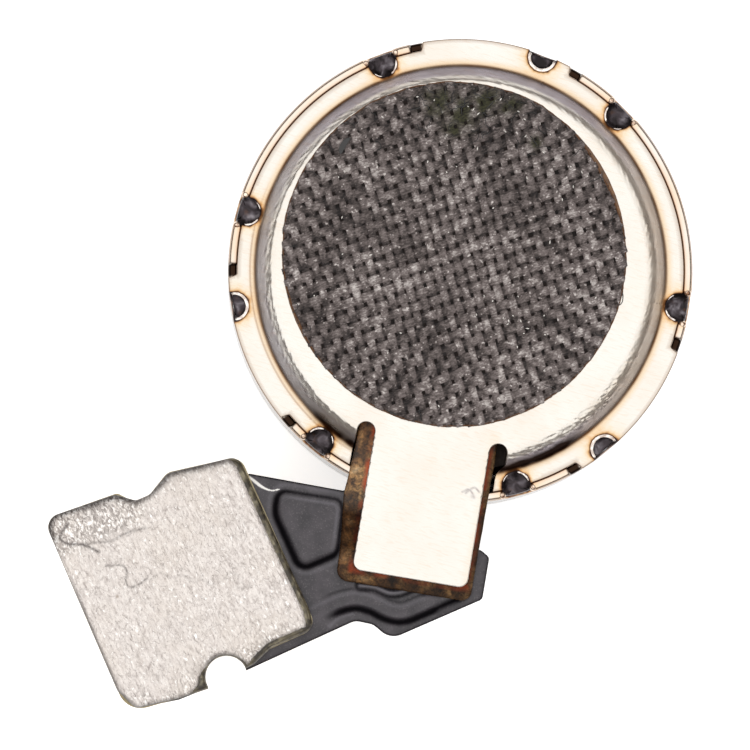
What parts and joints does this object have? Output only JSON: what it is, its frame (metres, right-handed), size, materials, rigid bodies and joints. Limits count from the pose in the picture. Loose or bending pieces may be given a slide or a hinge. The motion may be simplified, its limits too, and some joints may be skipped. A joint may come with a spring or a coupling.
{
  "type": "coin vibration motor",
  "caption": "Flat round linear vibration motor: steel can closed by a welded bracket with a tongue, cloth tape on top and a flexible contact tail with a stiffened pad.",
  "frame": {"origin": "centre of the can's closed base face", "axes": "+Z along the can's axis from the base to the bracket; the bracket's tongue points to -Y; the contact tail lies on the -X, -Y side"},
  "size_m": [0.0128, 0.0155, 0.0032],
  "materials": {
    "can_steel": "satin",
    "bracket_steel": "satin",
    "weld_metal": "gloss",
    "woven_cloth": "matte",
    "glue": "matte",
    "amber_film": "gloss",
    "black_film": "satin",
    "copper": "satin",
    "solder": "satin",
    "coil_wire": "gloss",
    "spring_steel": "satin",
    "foam": "matte",
    "tungsten": "matte",
    "yoke_iron": "satin",
    "magnet_plate": "satin",
    "board": "matte",
    "silver_film": "satin",
    "gold": "satin"
  },
  "bodies": {
    "housing": {"can": "can_steel", "bracket": "bracket_steel", "weld_beads": "weld_metal", "cloth_tape": "woven_cloth", "tape_adhesive": "glue", "coil_flex": "amber_film", "coil_flex_pads": "copper", "voice_coil": "coil_wire", "coil_leads": "copper", "lead_solder": "solder", "spring": "spring_steel", "spring_welds": "weld_metal", "floor_damper": "foam", "bracket_damper": "foam", "tail_film_root": "black_film", "tail_copper_root": "copper", "tail_cover_root": "black_film", "tail_solder": "solder"},
    "moving_mass": {"yoke": "yoke_iron", "magnet": "magnet_plate", "pole_plate": "yoke_iron", "tungsten_weight": "tungsten"},
    "contact_tail": {"tail_film_bend": "black_film", "tail_copper_bend": "copper", "tail_cover_bend": "black_film", "tail_film_end": "black_film", "tail_copper_end": "copper", "tail_cover_end": "black_film", "stiffener_adhesive": "glue", "stiffener_plate": "board", "stiffener_film": "silver_film", "contact_pads": "gold"}
  },
  "joints": [
    {"name": "mass_slide", "type": "slide", "parent": "housing", "child": "moving_mass", "axis": [0, 0, 1], "range_m": [-0.00035, 0.00035], "stiffness_N_per_m": 1500, "deforming": ["spring"]},
    {"name": "tail_bend", "type": "hinge", "parent": "housing", "child": "contact_tail", "pos_m": [-0.00267, -0.00613, 0.00262], "axis": [-0.5446, 0.8387, 0], "range_deg": [-20, 90], "stiffness_Nm_per_rad": 0.002, "deforming": ["tail_film_bend", "tail_copper_bend", "tail_cover_bend"]}
  ]
}
